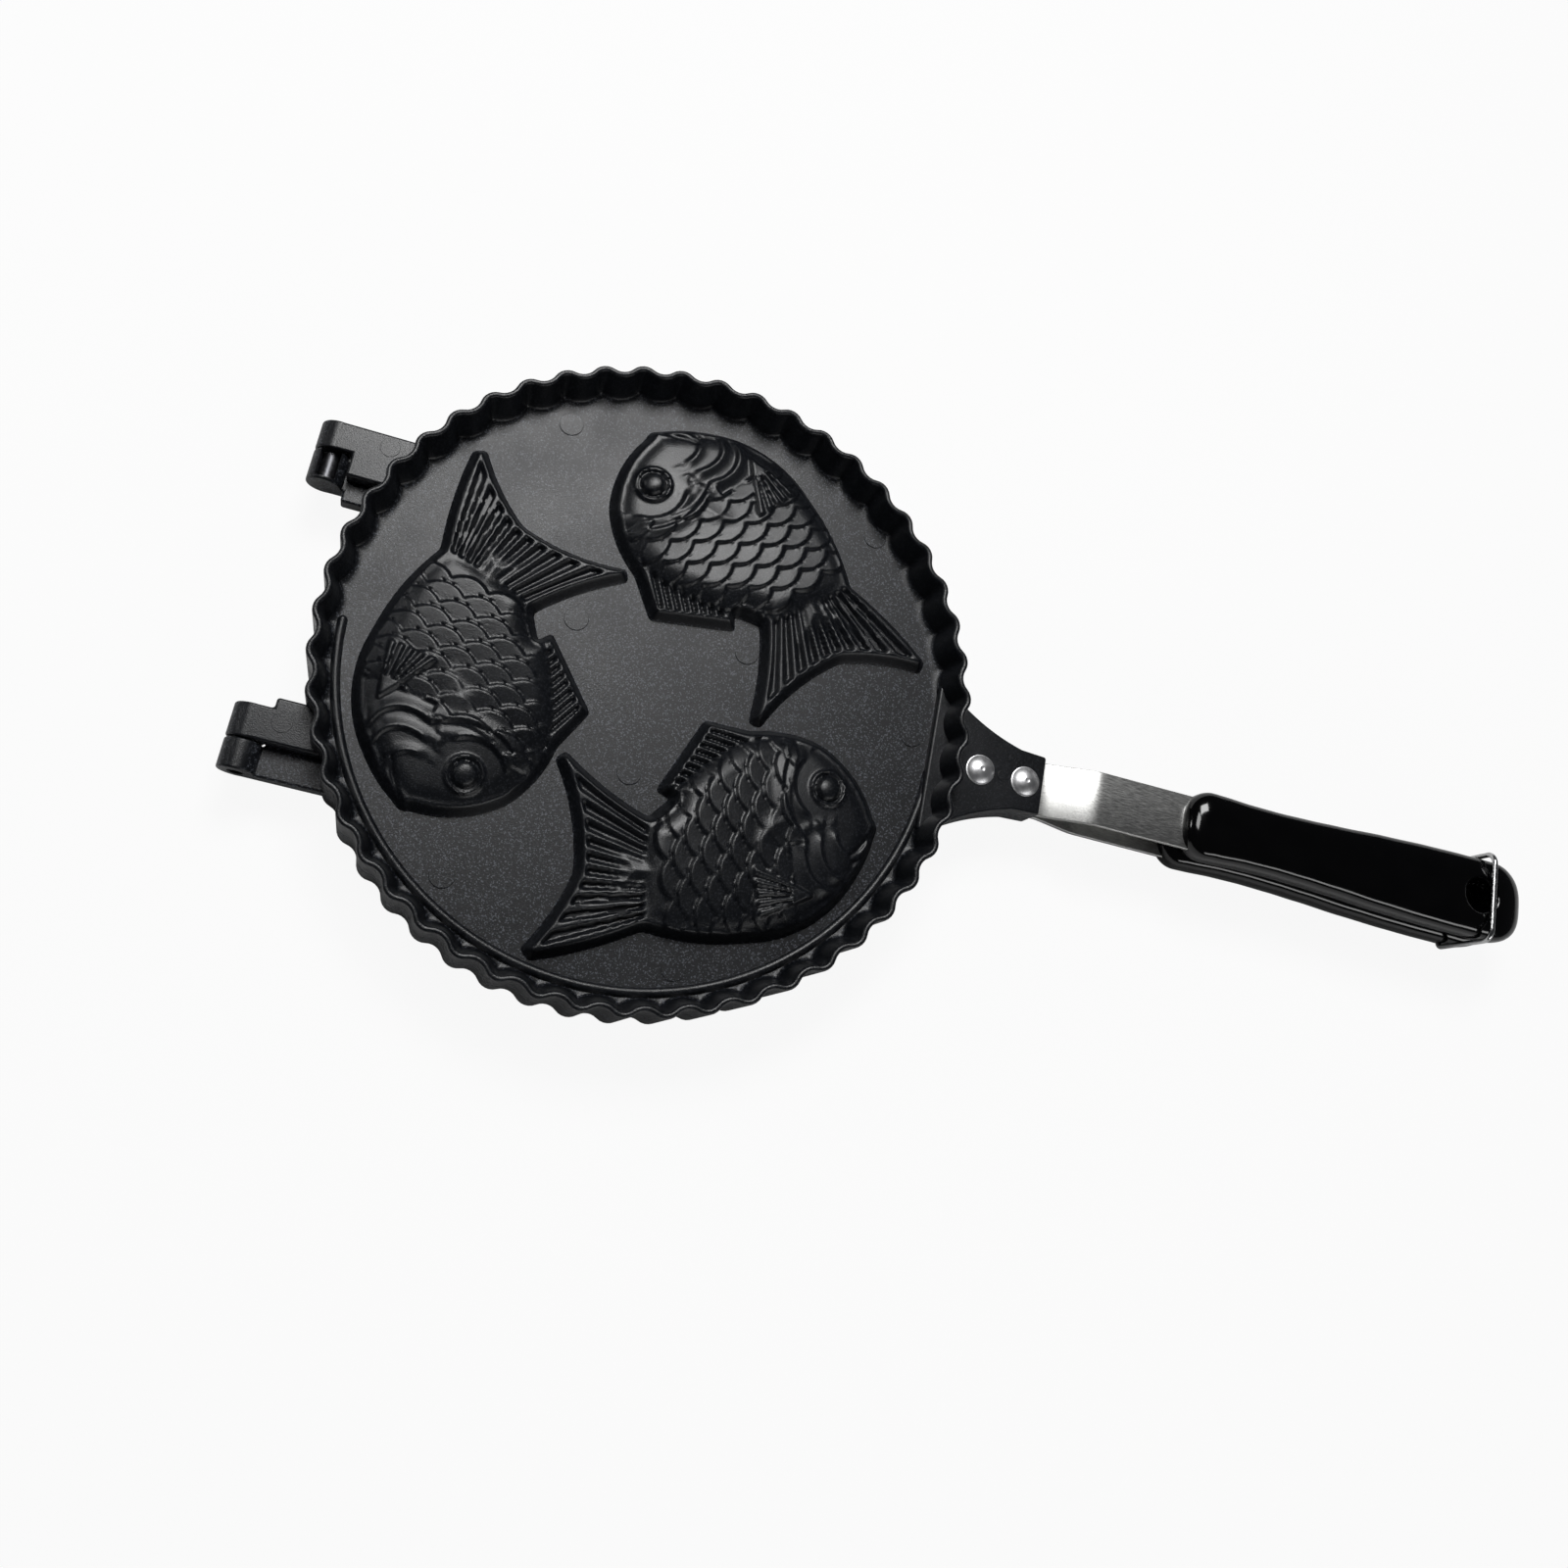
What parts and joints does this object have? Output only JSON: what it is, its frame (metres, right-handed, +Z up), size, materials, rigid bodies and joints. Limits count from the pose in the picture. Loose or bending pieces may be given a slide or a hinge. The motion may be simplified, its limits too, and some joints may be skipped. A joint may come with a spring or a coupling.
{
  "type": "taiyaki maker",
  "caption": "Round fluted stove pan for fish-shaped cakes: two hinged cast halves with moulds, riveted strap handles with long grips, and a wire latch.",
  "frame": {"origin": "on the table under the middle of the whole length, with the pan closed and lying on its lower rim", "axes": "+X from the hinge along the handles, +Z up through the pan, +Y to the left of the handles"},
  "size_m": [0.4422, 0.212, 0.0347],
  "materials": {
    "casting": "die-cast aluminium under a satin black non-stick coating with a fine metallic fleck",
    "steel": "brushed stainless steel",
    "rivet": "bright aluminium, headed",
    "grip": "glossy black heat-resistant moulding",
    "wire": "bright drawn steel wire"
  },
  "bodies": {
    "lower_half": {"lower_plate": "casting", "lower_rim": "casting", "lower_near_fish": "casting", "lower_far_fish": "casting", "lower_hinge_fish": "casting", "lower_hinge_pin": "steel", "lower_strap": "steel", "lower_rivet_plate_side": "rivet", "lower_rivet_grip_side": "rivet", "lower_grip": "grip"},
    "upper_half": {"upper_plate": "casting", "upper_rim": "casting", "upper_near_fish": "casting", "upper_far_fish": "casting", "upper_hinge_fish": "casting", "upper_hinge_pin": "steel", "upper_strap": "steel", "upper_rivet_plate_side": "rivet", "upper_rivet_grip_side": "rivet", "upper_grip": "grip"},
    "latch": {"wire_latch": "wire"}
  },
  "joints": [
    {"name": "lid_hinge", "type": "hinge", "parent": "lower_half", "child": "upper_half", "pos_m": [-0.21535, 0, 0.0164], "axis": [0, -1, 0], "range_deg": [0, 180]},
    {"name": "latch_swing", "type": "hinge", "parent": "lower_half", "child": "latch", "pos_m": [0.20265, 0, 0.0059], "axis": [0, 1, 0], "range_deg": [0, 180]}
  ]
}
